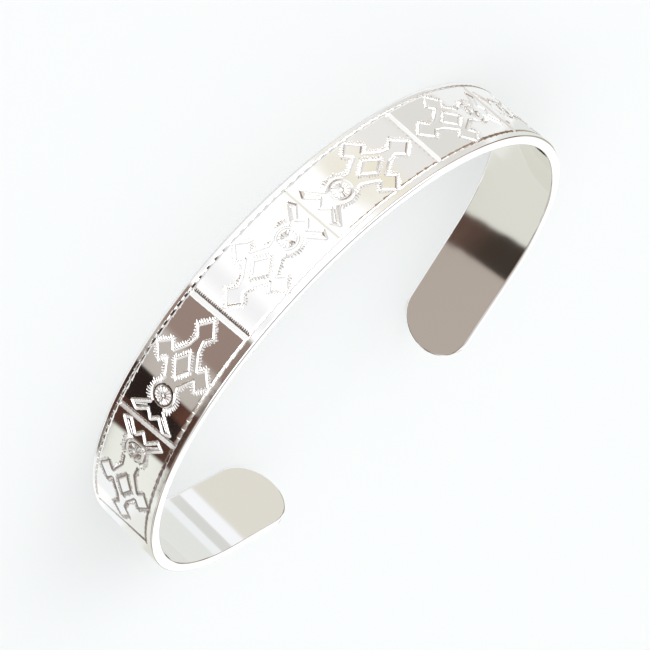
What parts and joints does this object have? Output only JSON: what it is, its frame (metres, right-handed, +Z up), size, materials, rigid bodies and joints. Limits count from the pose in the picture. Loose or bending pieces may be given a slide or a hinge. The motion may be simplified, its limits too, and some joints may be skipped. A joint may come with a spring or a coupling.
{
  "type": "engraved silver cuff bracelet",
  "caption": "Open cuff bracelet of polished silver strip, bent to a C with rounded ends, its front engraved with framed crosses of the Tuareg kind.",
  "frame": {"origin": "middle of the cuff's box, on the surface that it lies on", "axes": "+Z up, along the wrist, through both open sides of the cuff; -Y to the engraved front, +Y to the opening; +X across the wrist"},
  "size_m": [0.062, 0.0582, 0.0093],
  "materials": {
    "silver": "polished"
  },
  "bodies": {
    "root": {"cuff_band": "silver"}
  },
  "joints": []
}
